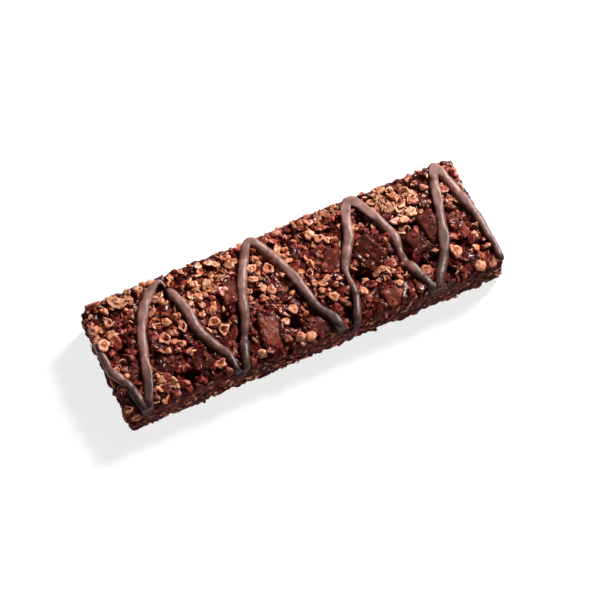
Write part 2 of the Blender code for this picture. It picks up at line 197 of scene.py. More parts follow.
# Puffed grains that show by themselves (x, y, diameter, how far open, lightness)
SHOWN_PUFFS = (
    (-48, 9.2, 2.7, 1, 0.5), (-52.4, 11.8, 2.3, 0.6, 0.4), (-52.3, 9.3, 2.8, 0.3, 0.8),
    (-52.8, 7, 2.4, 0.4, 0.6), (-51.6, 4, 3.3, 0.7, 0.9), (-51.2, -3.6, 1.9, 0.8, 0.5),
    (-49.4, -6.2, 1.7, 0.2, 0.9), (-52.6, -14.8, 2.3, 1, 0.2), (-36.4, -0.5, 3.3, 1, 0.6),
    (-30.9, 0.5, 3, 1, 0.5), (-34.3, 3.6, 2.7, 0.6, 0.7), (-33, -3.8, 2.5, 0.2, 0.7),
    (-37, -4.2, 2.1, 0.2, 0.6), (-34.6, -4.9, 1.8, 0.2, 0.6), (-22.9, -1.6, 3.4, 1, 0.7),
    (-21.6, -4.4, 3.3, 1, 0.9), (-24, 6.8, 2.8, 0.4, 0.8), (-22, 6.6, 2, 0.2, 0.6),
    (-25, 2, 2.5, 0.4, 0.7), (-26.2, -13, 3.2, 1, 0.4), (-8, 8.6, 2.8, 0.8, 0.8), (-4, 6.6, 3.2, 1, 0.6),
    (-5.8, 0.8, 2.7, 0.5, 0.6), (-8.5, -0.5, 2.3, 0.3, 0.5), (-2.8, -6.5, 2.8, 0.6, 0.8),
    (-6, -8.7, 2.6, 0.4, 0.8), (-7.4, -13.6, 2.2, 0.4, 0.2), (-15.2, -14.6, 2.7, 0.3, 1),
    (-4.4, -14.6, 3, 0.3, 0.6), (-1.8, -15.4, 2.9, 0.2, 0.9), (-4.2, -17, 2.5, 0.5, 0.5),
    (9.9, 11.3, 3.1, 0.2, 0.9), (11.6, 9.2, 2.6, 0.8, 0.7), (5.3, 1, 2.3, 0.9, 0.6),
    (5.3, -2, 2.3, 0.4, 0.6), (7.3, -3, 2.5, 0.8, 0.6), (6.2, -4.8, 2.1, 0.4, 0.6),
    (11.7, -3.5, 1.9, 0.3, 0.6), (10.3, -4.7, 1.7, 0.3, 0.5), (8.2, -7.8, 2.8, 0.4, 0.8),
    (16, -9.4, 2.8, 0.2, 0.9), (18.2, -6.4, 2.5, 0.3, 0.7), (23.4, -5.6, 2.3, 0.4, 0.7),
    (24.9, -6.9, 2.5, 0.9, 0.8), (25.4, -11.2, 2.4, 0.3, 0.8), (33.4, -10.6, 2.8, 0.6, 0.3),
    (35.5, 11.5, 2.6, 0.5, 0.6), (32.5, 15.3, 2.8, 0.3, 0.6), (43.4, 11.5, 2.5, 0.3, 0.5),
    (48.5, 5.8, 2.3, 0.8, 0.5), (43, -9, 4, 0.65, 0.7), (49.3, -6.7, 2.5, 0.3, 0.8),
    (47, -15.2, 3, 0.2, 1),
)

# Clusters of pieces (x, y, reach along, reach across, kind, count, lightness)
CLUSTERS = (
    (-43.2, 14.2, 3, 1.6, "pale_flake", 7, 0.6),
    (-41.5, -12, 2.6, 3.4, "pale_flake", 8, 0.35),
    (-14.5, 12.5, 3.4, 2, "crumb_gold", 12, 0.8),
    (-14.5, 12.5, 3.4, 2, "pale_flake", 4, 0.5),
    (37, 6, 0.3, 0.3, "large_flake", 1, 1),
    (34, 5, 0.3, 0.3, "large_flake", 1, 1),
    (31.8, 9.2, 0.3, 0.3, "large_flake", 1, 0.85),
    (38.6, 9.6, 0.3, 0.3, "large_flake", 1, 0.85),
    (-42.6, -12.4, 0.3, 0.3, "large_flake", 1, 0.45),
    (36, 6.2, 2.6, 1.9, "pale_flake", 5, 0.9),
    (33.4, 8.4, 3.4, 2.6, "pale_flake", 9, 0.9),
    (36.8, 10.4, 3.8, 2.6, "pale_flake", 8, 0.75),
    (37.6, 9.4, 3.4, 2.2, "sliver", 2, 0.9),
    (31.4, 12.2, 4, 2.4, "sliver", 3, 0.7),
    (30.4, 12.6, 4, 2.2, "pale_flake", 10, 0.6),
    (12, 14.6, 8, 1.6, "pale_flake", 6, 0.05),
    (12, 13.6, 8, 2.2, "crumb_gold", 14, 0.5),
    (33.5, -10.8, 2, 1.8, "crumb_gold", 8, 0.2),
    (24.5, -8.6, 2.6, 2.2, "crumb_gold", 9, 0.5),
    (47.6, 6.6, 2, 3.2, "crumb_gold", 8, 0.5),
    (-22, 8.4, 3.6, 2.4, "crumb_gold", 8, 0.6),
)

# Patches of the top that are lighter or darker, partly the pieces' own tone and partly painted shade in the
# hollows, beside the drizzle and along the front (x, y, reach along, reach across, lightness, bare share)
TONE_AND_SHADE_PATCHES = (
    (-50, 9, 5, 8, 0.35, 0.35), (-36, 12, 5, 4, 0.25, 0.12), (-41.5, 4, 5, 8, -0.3, -0.15),
    (-34, 2, 5, 5, 0.15, 0.15), (-29, -11, 9, 6, -0.55, -0.2), (-22, 10, 9, 6, 0.5, 0.25),
    (0, 13, 5, 4, 0.2, 0.1), (-17, -6, 4, 7, -0.4, -0.2), (-4, 0, 6, 9, 0.15, 0.2),
    (10, 8, 7, 7, 0.3, 0.3), (10, -6, 4, 5, -0.2, 0.1), (17.5, -3, 4.5, 8, -0.45, -0.2),
    (20, -13, 6, 4, 0.1, 0.1), (33, 11, 8, 6, 0.4, 0.5), (34.5, -5, 6, 7, -0.5, -0.25),
    (49.5, 7, 5, 9, 0.25, 0.1), (4, -13.5, 26, 5.5, -0.5, -0.1), (-50, -12, 5, 7, -0.3, -0.15),
)

# Numbers of the chunks that crumbs and flakes partly hide
SPRINKLED = (2, 4, 5, 7, 8, 9, 10, 11, 13)

# Lightness of each chunk of chocolate, partly its own tone and partly painted shade: the darkest (0.15)
# stands for a chunk lying in shadow
CHUNK_TONES_AND_SHADE = (0.72, 0.6, 0.25, 0.55, 0.35, 0.35, 0.2, 0.55, 0.3, 0.25, 0.15, 0.8, 0.3)

# Light and camera
FOCAL_LENGTH = 150.0
SENSOR_WIDTH = 36.0
PICTURE_WIDTH = 600.0
NEAR_CLIP = 0.01
VIEW_ELEVATION = math.radians(65.0)
VIEW_TURN = math.radians(24.45)
PIXELS_PER_MM = 3.81
BAR_PIXEL = (292.7, 292.6)
KEY_DIRECTION = Vector((0.88, 0.42, 0.82)).normalized()
KEY_DISTANCE = 0.9
KEY_SIZE = 0.2
KEY_POWER = 16.8
KEY_COLOUR = (1.0, 0.93, 0.88)
SURROUND_COLOUR = (1.0, 0.9, 0.86, 1.0)
SURROUND_STRENGTH = 0.09
FLOOR_SIZE = 6.0
FLOOR_GREY = 0.25
FLOOR_GLOW = 0.8


def ripple(points, wavelength, seed):
    """Return smooth uneven waves of about -1 to 1 at the points."""
    rng = np.random.default_rng(seed)
    ways = rng.normal(size=(9, 3))
    ways /= np.linalg.norm(ways, axis=1, keepdims=True)
    ways *= rng.uniform(0.7, 1.6, (9, 1)) * 2 * math.pi / wavelength
    return np.sin(points @ ways.T + rng.uniform(0, 2 * math.pi, 9)).sum(axis=1) / 4


def smoothstep(low, high, values):
    """Return a soft step from 0 at low to 1 at high."""
    share = np.clip((values - low) / (high - low), 0, 1)
    return share * share * (3 - 2 * share)


BOX_HIGH = np.array((BAR_LENGTH / 2, BAR_WIDTH / 2, BAR_HEIGHT)) - BOX_MARGIN
BOX_LOW = np.array((-BOX_HIGH[0], -BOX_HIGH[1], 0.0))


def move_inside(points):
    """Move a whole piece inwards until it lies in the box of the solids."""
    below = np.clip(BOX_LOW - points.min(axis=0), 0, None)
    above = np.clip(points.max(axis=0) - BOX_HIGH, 0, None)
    return points + below - above


def make_mesh(name, points, faces, **values):
    """Make an object in metres from points in mm, with a float attribute for each named value."""
    mesh = bpy.data.meshes.new(name)
    mesh.from_pydata((np.clip(points, BOX_LOW, BOX_HIGH) * MM).tolist(), [], np.asarray(faces).tolist())
    for label, numbers in values.items():
        layer = mesh.attributes.new(label, "FLOAT", "POINT")
        layer.data.foreach_set("value", np.ascontiguousarray(numbers, dtype=np.float32))
    mesh.shade_smooth()
    piece = bpy.data.objects.new(name, mesh)
    bpy.context.scene.collection.objects.link(piece)
    return piece


def arrays(mesh):
    """Return the points and the triangles of a mesh."""
    mesh.calc_loop_triangles()
    points = np.empty(len(mesh.vertices) * 3)
    mesh.vertices.foreach_get("co", points)
    triangles = np.empty(len(mesh.loop_triangles) * 3, dtype=np.int32)
    mesh.loop_triangles.foreach_get("vertices", triangles)
    return points.reshape(-1, 3), triangles.reshape(-1, 3)


def fuse(rough, voxel, smoothing):
    """Melt an object into one skin, remove it, and return the skin's points, triangles and normals."""
    grid = rough.modifiers.new("Fuse", "REMESH")
    grid.mode = "VOXEL"
    grid.voxel_size = voxel * MM
    soft = rough.modifiers.new("Soften", "SMOOTH")
    soft.iterations = smoothing
    mesh = bpy.data.meshes.new_from_object(rough.evaluated_get(bpy.context.evaluated_depsgraph_get()))
    bpy.data.objects.remove(rough, do_unlink=True)
    points, faces = arrays(mesh)
    normals = np.empty(len(mesh.vertices) * 3)
    mesh.vertex_normals.foreach_get("vector", normals)
    bpy.data.meshes.remove(mesh)
    return points / MM, faces, normals.reshape(-1, 3)


def ball(kind, *detail):
    """Return the points and triangles of a unit ball made as a bmesh primitive."""
    shape = bmesh.new()
    if kind == "ico":
        bmesh.ops.create_icosphere(shape, subdivisions=detail[0], radius=1.0)
    else:
        bmesh.ops.create_uvsphere(shape, u_segments=detail[0], v_segments=detail[1], radius=1.0)
    mesh = bpy.data.meshes.new("ball")
    shape.to_mesh(mesh)
    shape.free()
    points, triangles = arrays(mesh)
    bpy.data.meshes.remove(mesh)
    return points, triangles


def axes_along(normal, turn, tilt):
    """Return a rotation with +Z near the normal, turned about it and tilted a little."""
    z = np.asarray(normal, dtype=float)
    z = z / np.linalg.norm(z)
    guide = np.array((0.0, 1.0, 0.0)) if abs(z[1]) < 0.8 else np.array((1.0, 0.0, 0.0))
    x = np.cross(guide, z)
    x /= np.linalg.norm(x)
    y = np.cross(z, x)
    x_turned = x * math.cos(turn) + y * math.sin(turn)
    y_turned = np.cross(z, x_turned)
    z_tilted = z + x_turned * tilt[0] + y_turned * tilt[1]
    z_tilted /= np.linalg.norm(z_tilted)
    y_tilted = np.cross(z_tilted, x_turned)
    y_tilted /= np.linalg.norm(y_tilted)
    return np.column_stack((np.cross(y_tilted, z_tilted), y_tilted, z_tilted))


class Batch:
    """Collects the copies of one kind of piece, to be joined into one mesh."""

    def __init__(self, name):
        self.name = name
        self.points = []
        self.faces = []
        self.tone = []
        self.clean = []
        self.count = 0

    def add(self, points, faces, tone, clean):
        """Add one piece."""
        self.points.append(points)
        self.faces.append(faces + self.count)
        self.tone.append(np.full(len(points), tone))
        self.clean.append(clean)
        self.count += len(points)

    def surface(self):
        """Return the points and triangles of the pieces so far, for others to rest on."""
        return np.concatenate(self.points), np.concatenate(self.faces)

    def build(self, material):
        """Make the pieces one object of the scene."""
        values = {"tone": np.concatenate(self.tone), "clean": np.concatenate(self.clean)}
        piece = make_mesh(self.name, *self.surface(), **values)
        piece.data.materials.append(material)
        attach(piece, "root")


BALL_SMALL = ball("ico", 2)
BALL_LARGE = ball("ico", 3)
BALL_FLAKE = ball("uv", 14, 6)
BALL_PUFF = ball("uv", 16, 13)
BALL_SLIVER = ball("uv", 8, 7)

# The open puff: radius and height against the angle down from its top, in degrees
CUP_ANGLES = (0, 20, 36, 50, 62, 80, 110, 140, 180)
CUP_RADII = (0.0, 0.3, 0.5, 0.62, 0.78, 0.97, 1.0, 0.72, 0.0)
CUP_HEIGHTS = (0.16, 0.2, 0.32, 0.52, 0.66, 0.45, -0.1, -0.6, -0.85)


def flake_piece(size, rng):
    """Return one rolled oat: a thin ragged oval, creased along the middle and a little curled."""
    points, faces = BALL_FLAKE
    length, width, thickness = size
    seed = rng.randrange(10 ** 6)
    ragged = 1 + 0.17 * ripple(points * (1, 1, 0), 1.4, seed) + 0.08 * ripple(points, 0.5, seed + 1)
    shaped = points * ragged[:, None] * (length / 2, width / 2, thickness / 2)
    across = shaped[:, 1] / (width / 2)
    along = shaped[:, 0] / (length / 2)
    crease = -0.16 * np.exp(-(across / 0.16) ** 2) * (1 - along ** 2)
    curl = rng.uniform(-0.28, 0.4) * along ** 2 + rng.uniform(-0.1, 0.35) * across ** 2
    warp = 0.12 * ripple(shaped, 2.2, seed + 2)
    shaped[:, 2] += (crease * (points[:, 2] > 0) + curl + warp) * 0.9
    clean = 0.58 + 0.1 * along + 0.55 * ripple(shaped, 1.5, seed + 3)
    return shaped, faces, np.clip(clean, 0, 1)


def puff_piece(diameter, opening, rng):
    """Return one puffed grain: a lumpy ball, broken open at the top as far as opening says."""
    points, faces = BALL_PUFF
    seed = rng.randrange(10 ** 6)
    angle = np.degrees(np.arccos(np.clip(points[:, 2], -1, 1)))
    turn = np.arctan2(points[:, 1], points[:, 0])
    torn = 0.5 + 0.5 * np.cos(turn - rng.uniform(0, 2 * math.pi))
    share = opening * (0.75 + 0.25 * torn)
    radius = np.sin(np.radians(angle)) * (1 - share) + np.interp(angle, CUP_ANGLES, CUP_RADII) * share
    radius *= 1 + 0.1 * np.sin(3 * turn + seed) + 0.06 * np.sin(5 * turn + 2 * seed)
    height = points[:, 2] * 0.8 * (1 - share) + np.interp(angle, CUP_ANGLES, CUP_HEIGHTS) * share
    height -= 0.28 * opening * torn ** 2 * (angle < 95)
    shaped = np.column_stack((np.cos(turn) * radius, np.sin(turn) * radius, height))
    lumps = 1 + 0.16 * ripple(points, 1.2, seed) + 0.09 * ripple(points, 0.5, seed + 1)
    shaped *= lumps[:, None] * (1, rng.uniform(0.78, 1.0), 1)
    inside = smoothstep(58, 34, angle) * opening
    rim = np.exp(-((angle - 62) / 20) ** 2) * opening
    outside = smoothstep(150, 75, angle)
    clean = outside * 0.78 + 0.3 * rim - 0.3 * inside + 0.22 * ripple(points, 1.1, seed + 2)
    return shaped * diameter / 2, faces, np.clip(clean, 0, 1)


def broken(points, cuts, rng):
    """Return the points of a ball cut flat on random sides, as a broken grain is."""
    numbers = np.random.default_rng(rng.randrange(10 ** 6))
    ways = numbers.normal(size=(cuts, 3))
    ways /= np.linalg.norm(ways, axis=1, keepdims=True)
    shaped = points.copy()
    for way, reach in zip(ways, numbers.uniform(0.3, 0.8, cuts)):
        shaped -= np.outer(np.clip(shaped @ way - reach, 0, None), way) * 0.94
    return shaped


def nugget_piece(size, rng, form):
    """Return one broken piece of oat or grain, with worn corners."""
    points, faces = form
    seed = rng.randrange(10 ** 6)
    shaped = broken(points, 7, rng) * (1 + 0.13 * ripple(points, 0.8, seed))[:, None]
    corners = np.linalg.norm(shaped, axis=1)
    clean = 0.45 + 1.1 * (corners - corners.mean()) + 0.28 * ripple(points, 1.4, seed + 1)
    half = size / 2
    shaped *= (size * rng.uniform(0.6, 0.85), half * rng.uniform(0.7, 1.1), half * rng.uniform(0.45, 0.9))
    return shaped, faces, np.clip(clean, 0, 1)


def sliver_piece(length, rng):
    """Return one sliver of bran: a narrow curved strip."""
    points, faces = BALL_SLIVER
    shaped = points * (length / 2, rng.uniform(0.24, 0.42), rng.uniform(0.09, 0.16))
    along = points[:, 0]
    shaped[:, 2] += rng.uniform(-0.5, 0.2) * along ** 2
    shaped[:, 1] += rng.uniform(-0.6, 0.6) * along ** 2
    clean = np.clip(0.8 + 0.3 * ripple(shaped, 1.2, rng.randrange(10 ** 6)), 0, 1)
    return shaped, faces, clean


CORE_LOW = np.array((CORE_INSETS["left"] - BAR_LENGTH / 2, CORE_INSETS["front"] - BAR_WIDTH / 2, CORE_BOTTOM))
CORE_HIGH = np.array((BAR_LENGTH / 2 - CORE_INSETS["right"], BAR_WIDTH / 2 - CORE_INSETS["back"], CORE_TOP))
CORE_HALF = (CORE_HIGH - CORE_LOW) / 2
CORE_MIDDLE = (CORE_HIGH + CORE_LOW) / 2


def on_block(box_points):
    """Return the places and normals on the rounded, wavy block nearest to points on its outer box."""
    local = np.clip(box_points - CORE_MIDDLE, -CORE_HALF, CORE_HALF)
    inner = np.clip(local, CORE_ROUNDING - CORE_HALF, CORE_HALF - CORE_ROUNDING)
    normal = local - inner
    normal /= np.linalg.norm(normal, axis=1, keepdims=True)
    places = inner + normal * CORE_ROUNDING + CORE_MIDDLE
    sideways = 1 - np.abs(normal[:, 2:])
    places += normal * sideways * CORE_WAVES * ripple(places * (1, 1, 0), CORE_WAVE_LENGTH, 70)[:, None]
    back = smoothstep(*BACK_EDGE, places[:, 1])
    bulge = np.exp(-((places[:, 0] - BULGE_X) / BULGE_REACH) ** 2)
    corner = smoothstep(*LEFT_CORNER_X, places[:, 0]) * smoothstep(*LEFT_CORNER_Y, places[:, 1])
    places[:, 2] += (BACK_EDGE_LIFT + BULGE_LIFT * bulge) * back * smoothstep(*UPPER_PART, places[:, 2])
    places[:, 1] += BULGE_OUT * bulge * back - LEFT_CORNER_CUT * corner
    return places, normal


def random_places(count, rng, underside=True):
    """Return places and normals spread by area over the rounded block."""
    areas = np.prod(CORE_HALF) / CORE_HALF.repeat(2)
    if not underside:
        areas[4] = 0.0
    sides = rng.choice(6, size=count, p=areas / areas.sum())
    points = rng.uniform(-1, 1, (count, 3)) * CORE_HALF
    axis = sides // 2
    points[np.arange(count), axis] = CORE_HALF[axis] * np.where(sides % 2 == 0, -1, 1)
    return on_block(points + CORE_MIDDLE)


def spread(places, normals, spacing, blocked=None):
    """Keep the places that lie at least the spacing apart and aren't blocked."""
    kept = []
    cells = {}
    for index, place in enumerate(places):
        cell = tuple(int(math.floor(value / spacing)) for value in place)
        near = (
            cells.get((cell[0] + i, cell[1] + j, cell[2] + k), ())
            for i in (-1, 0, 1) for j in (-1, 0, 1) for k in (-1, 0, 1)
        )
        if any(np.sum((place - places[other]) ** 2) < spacing ** 2 for group in near for other in group):
            continue
        if blocked is not None and blocked(place, normals[index]):
            continue
        cells.setdefault(cell, []).append(index)
        kept.append(index)
    return places[kept], normals[kept]


def smooth_route():
    """Return close points along a smooth curve through the drizzle's bends."""
    bends = np.array(DRIZZLE_ROUTE)
    bends = np.vstack((2 * bends[0] - bends[1], bends, 2 * bends[-1] - bends[-2]))
    fine = []
    for a, b, c, d in zip(bends, bends[1:], bends[2:], bends[3:]):
        for t in np.arange(0, 1, 0.04):
            fine.append(0.5 * (2 * b + (c - a) * t + (2 * a - 5 * b + 4 * c - d) * t ** 2
                               + (3 * b - a - 3 * c + d) * t ** 3))
    fine = np.array(fine + [bends[-2]])
    lengths = np.concatenate(((0,), np.cumsum(np.linalg.norm(np.diff(fine, axis=0), axis=1))))
    steps = np.arange(0, lengths[-1], DRIZZLE_STEP)
    return np.column_stack([np.interp(steps, lengths, fine[:, axis]) for axis in range(3)])


def lump_block(rng):
    """Return the points and triangles of a rounded block with lumps on it, their places and their tones."""
    points, triangles = ball("ico", 2)
    block_points, block_faces = ball("ico", 6)
    reach = np.abs(block_points).max(axis=1, keepdims=True)
    block_points, _ = on_block(block_points / reach * CORE_HALF + CORE_MIDDLE)
    all_points = [block_points]
    all_faces = [block_faces]
    count = len(block_points)
    places, normals = random_places(LUMP_TRIES, np.random.default_rng(3))
    places, normals = spread(places, normals, LUMP_SPACING)
    tones = []
    for place, normal in zip(places, normals):
        size = [rng.uniform(*limits) for limits in LUMP_SIZE]
        turn = rng.uniform(0, 2 * math.pi)
        turned = axes_along(normal, turn, (rng.uniform(-0.4, 0.4), rng.uniform(-0.4, 0.4)))
        lump = points * (1 + 0.2 * ripple(points, 1.5, rng.randrange(10 ** 6)))[:, None] * size
        all_points.append(move_inside(lump @ turned.T + place + normal * rng.uniform(*LUMP_SINK)))
        all_faces.append(triangles + count)
        count += len(points)
        tones.append(rng.uniform(-0.05, 1.1))
    return np.concatenate(all_points), np.concatenate(all_faces), places, np.array(tones)


def make_core(rng):
    """Make the pressed mass: lumps fused to a rounded block, with a grainy relief and deep gaps."""
    rough_points, rough_faces, lumps, lump_tones = lump_block(rng)
    points, faces, normals = fuse(make_mesh("core_lumps", rough_points, rough_faces), CORE_VOXEL, smoothing=1)

    grains, _ = random_places(GRAIN_TRIES, np.random.default_rng(5))
    grains, _ = spread(grains, grains, GRAIN_SPACING)
    grain_tree = point_tree(grains)
    nearest = [grain_tree.find(point) for point in points]
    distance = np.array([found[2] for found in nearest])
    dome = 1 - smoothstep(0, GRAIN_SPACING * 0.9, distance)
    points = points + normals * (dome * GRAIN_RELIEF + 0.07 * ripple(points, 0.9, 8))[:, None]
    for x, y, radius, depth in GAPS:
        away = np.hypot(points[:, 0] - x, points[:, 1] - y) / radius
        points[:, 2] -= depth * smoothstep(1.0, 0.35, away) * (points[:, 2] > CORE_TOP - 3)
    points[points[:, 2] < UNDERSIDE_HEIGHT, 2] *= UNDERSIDE_FLATTENING

    grain_tone = np.random.default_rng(6).random(len(grains))[[found[1] for found in nearest]]
    lump_tree = point_tree(lumps)
    lump_tone = lump_tones[[lump_tree.find(point)[1] for point in points]]
    tone = np.clip(0.62 * lump_tone + 0.38 * grain_tone, 0, 1)
    clean = np.clip(dome * (0.62 + 0.5 * ripple(points, 2.2, 9)), 0, 1)
    return make_mesh("granola_core", points, faces, tone=tone, clean=clean)


def surface(piece):
    """Return the points in mm and the triangles of an object."""
    points, faces = arrays(piece.data)
    return points / MM, faces


def surface_tree(surfaces):
    """Return one search tree over several surfaces, each a pair of points and triangles."""
    counts = np.cumsum([0] + [len(points) for points, _ in surfaces])
    all_points = np.concatenate([points for points, _ in surfaces])
    all_faces = np.concatenate([faces + count for (_, faces), count in zip(surfaces, counts)])
    return BVHTree.FromPolygons(all_points.tolist(), all_faces.tolist())


def point_tree(points):
    """Return a search tree over points."""
    tree = KDTree(len(points))
    for index, point in enumerate(points):
        tree.insert(point, index)
    tree.balance()
    return tree


def land(tree, place, normal):
    """Return where a line along the normal meets the surface from outside."""
    start = Vector(place) + Vector(normal) * 6
    hit, _, _, _ = tree.ray_cast(start, -Vector(normal))
    return np.array(hit if hit is not None else place)


def ramp(tree, value, stops):
    """Return the colour that a value gets from (position, colour) stops."""
    node = tree.nodes.new("ShaderNodeValToRGB")
    elements = node.color_ramp.elements
    while len(elements) < len(stops):
        elements.new(0.5)
    for element, (position, colour) in zip(elements, stops):
        element.position = position
        element.color = (*colour, 1.0)
    tree.links.new(value, node.inputs["Fac"])
    return node.outputs["Color"]


def stored(tree, name):
    """Return the value that the mesh holds under a name."""
    node = tree.nodes.new("ShaderNodeAttribute")
    node.attribute_name = name
    return node.outputs["Fac"]


def multiplied(tree, first, second):
    """Return the product of two colours."""
    node = tree.nodes.new("ShaderNodeMix")
    node.data_type = "RGBA"
    node.blend_type = "MULTIPLY"
    node.inputs["Factor"].default_value = 1.0
    tree.links.new(first, node.inputs["A"])
    tree.links.new(second, node.inputs["B"])
    return node.outputs["Result"]


def noise(tree, place, scale, detail):
    """Return a noise value at a place."""
    node = tree.nodes.new("ShaderNodeTexNoise")
    node.inputs["Scale"].default_value = scale
    node.inputs["Detail"].default_value = detail
    tree.links.new(place, node.inputs["Vector"])
    return node.outputs["Fac"]


def ranged(tree, value, low, high, full=1.0):
    """Return a value that goes from 0 at low to full at high."""
    node = tree.nodes.new("ShaderNodeMapRange")
    node.inputs["From Min"].default_value = low
    node.inputs["From Max"].default_value = high
    node.inputs["To Max"].default_value = full
    tree.links.new(value, node.inputs["Value"])
    return node.outputs["Result"]


def food_material(name, clean_stops, tone_stops, gloss, grain, bump, wet_from=0.42):
    """Return a food material coloured by the clean and tone values, with a fine grain."""
    material = bpy.data.materials.new(name)
    material.use_nodes = True
    tree = material.node_tree
    shader = tree.nodes["Principled BSDF"]
    shader.inputs["Roughness"].default_value = 0.7
    shader.inputs["Specular IOR Level"].default_value = 0.1
    shader.inputs["Coat Roughness"].default_value = 0.3
    place = tree.nodes.new("ShaderNodeTexCoord").outputs["Object"]

    colour = multiplied(
        tree, ramp(tree, stored(tree, "clean"), clean_stops), ramp(tree, stored(tree, "tone"), tone_stops)
    )
    colour = multiplied(tree, colour, ramp(tree, noise(tree, place, grain, 3.0), SPECKLES))
    tree.links.new(colour, shader.inputs["Base Color"])

    # Wet syrup in patches on the top
    patches = ranged(tree, noise(tree, place, SYRUP_SCALE, 2.0), wet_from, wet_from + SYRUP_EDGE, gloss)
    apart = tree.nodes.new("ShaderNodeSeparateXYZ")
    tree.links.new(place, apart.inputs["Vector"])
    high = ranged(tree, apart.outputs["Z"], SYRUP_HEIGHTS[0] * MM, SYRUP_HEIGHTS[1] * MM)
    wet = tree.nodes.new("ShaderNodeMath")
    wet.operation = "MULTIPLY"
    tree.links.new(high, wet.inputs[0])
    tree.links.new(patches, wet.inputs[1])
    tree.links.new(wet.outputs["Value"], shader.inputs["Coat Weight"])

    bumps = tree.nodes.new("ShaderNodeBump")
    bumps.inputs["Strength"].default_value = bump
    bumps.inputs["Distance"].default_value = 0.3 * MM
    tree.links.new(noise(tree, place, grain * 1.8, 4.0), bumps.inputs["Height"])
    tree.links.new(bumps.outputs["Normal"], shader.inputs["Normal"])
    return material


def mat_core():
    """Dark syrup and cocoa that bind the bar."""
    return food_material(
        "cocoa_syrup",
        ((0.0, (0.045, 0.002, 0.001)), (0.5, (0.18, 0.031, 0.022)), (1.0, (0.42, 0.145, 0.116))),
        ((0.0, (0.45, 0.14, 0.12)), (0.5, (0.88, 0.72, 0.7)), (1.0, (1.75, 2.1, 2.1))),
        0.7, 1400.0, 0.6,
    )


def mat_coated():
    """Oats coated in cocoa."""
    return food_material(
        "cocoa_oat",
        ((0.0, (0.065, 0.004, 0.003)), (0.45, (0.25, 0.044, 0.03)), (1.0, (0.62, 0.26, 0.22))),
        (
            (0.0, (0.42, 0.16, 0.14)), (0.5, (0.85, 0.7, 0.7)),
            (0.8, (1.25, 1.35, 1.35)), (1.0, (1.7, 2.1, 2.1)),
        ),
        0.65, 1500.0, 0.6,
    )


def mat_pale():
    """Toasted oats with little cocoa on them."""
    return food_material(
        "toasted_oat",
        ((0.0, (0.2, 0.055, 0.03)), (0.4, (0.6, 0.28, 0.17)), (1.0, (0.95, 0.64, 0.43))),
        ((0.0, (0.42, 0.32, 0.3)), (0.6, (0.85, 0.8, 0.78)), (1.0, (1.12, 1.15, 1.12))),
        0.3, 1000.0, 0.7,
    )


def mat_puff():
    """Golden puffed grain, orange-brown inside and dark where syrup holds it."""
    return food_material(
        "puffed_grain",
        (
            (0.0, (0.06, 0.008, 0.004)), (0.3, (0.4, 0.095, 0.03)),
            (0.62, (0.58, 0.22, 0.115)), (1.0, (0.82, 0.45, 0.33)),
        ),
        ((0.0, (0.42, 0.28, 0.28)), (0.6, (0.86, 0.8, 0.8)), (1.0, (1.1, 1.12, 1.1))),
        0.45, 1200.0, 0.6,
    )


def mat_drizzle():
    """Milk chocolate drizzle with a satin bloom."""
    material = food_material(
        "drizzle_chocolate",
        ((0.0, (0.15, 0.066, 0.058)), (1.0, (0.25, 0.13, 0.116))),
        # Tone runs from painted shade at the front (dark) to the lit back
        ((0.0, (0.2, 0.12, 0.11)), (0.35, (0.75, 0.66, 0.65)), (1.0, (1.28, 1.3, 1.3))),
        0.85, 420.0, 0.05, wet_from=0.0,
    )
    material.node_tree.nodes["Principled BSDF"].inputs["Coat Roughness"].default_value = 0.45
    return material


def mat_chunk():
    """Dark chocolate with worn, dusty faces."""
    return food_material(
        "dark_chocolate",
        ((0.0, (0.05, 0.006, 0.004)), (0.6, (0.115, 0.02, 0.011)), (1.0, (0.24, 0.08, 0.058))),
        ((0.0, (0.3, 0.2, 0.26)), (0.5, (0.95, 0.92, 0.9)), (1.0, (1.9, 2.2, 2.2))),
        0.14, 1100.0, 0.3,
    )


def make_chunk(node, number):
    """Make the block of one chocolate chunk again, worn and chipped, in the same place."""
    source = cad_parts[node]
    rough = bpy.data.objects.new(f"chunk_rough_{number:02d}", source.data.copy())
    bpy.context.scene.collection.objects.link(rough)
    points, faces, normals = fuse(rough, CHUNK_VOXEL, smoothing=4)
    swell = 0.13 * ripple(points, 3.4, 40 + number) + 0.03 * ripple(points, 0.9, 60 + number)
    chips = smoothstep(0.7, 1.1, ripple(points, 2.2, 80 + number))
    points = points + normals * (swell - 0.26 * chips)[:, None]
    clean = np.clip(0.5 + 0.3 * ripple(points, 2.4, 20 + number) + 0.3 * chips, 0, 1)
    # Each chunk's lightness holds its own tone and, for the darkest, painted shade
    tone = np.full(len(points), CHUNK_TONES_AND_SHADE[number - 1])
    chunk = make_mesh(f"chunk_{number:02d}", points, faces, tone=tone, clean=clean)
    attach(chunk, "root")
    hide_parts(node)
    return chunk


def lay_route():
    """Return the drizzle's guide points on the block and the way up at each."""
    route = smooth_route()
    flat = CORE_HALF[:2] - CORE_ROUNDING
    beyond = (np.abs(route[:, :2] - CORE_MIDDLE[:2]) - flat).max(axis=1)
    drop = route[:, 2] * smoothstep(0, 1.2, beyond)
    guides, normals = on_block(np.column_stack((route[:, :2], CORE_TOP + DRIZZLE_RISE - drop)))
    for _ in range(DRIZZLE_SMOOTHING):
        normals[1:-1] = (normals[:-2] + 2 * normals[1:-1] + normals[2:]) / 4
    normals /= np.linalg.norm(normals, axis=1, keepdims=True)
    return guides, normals


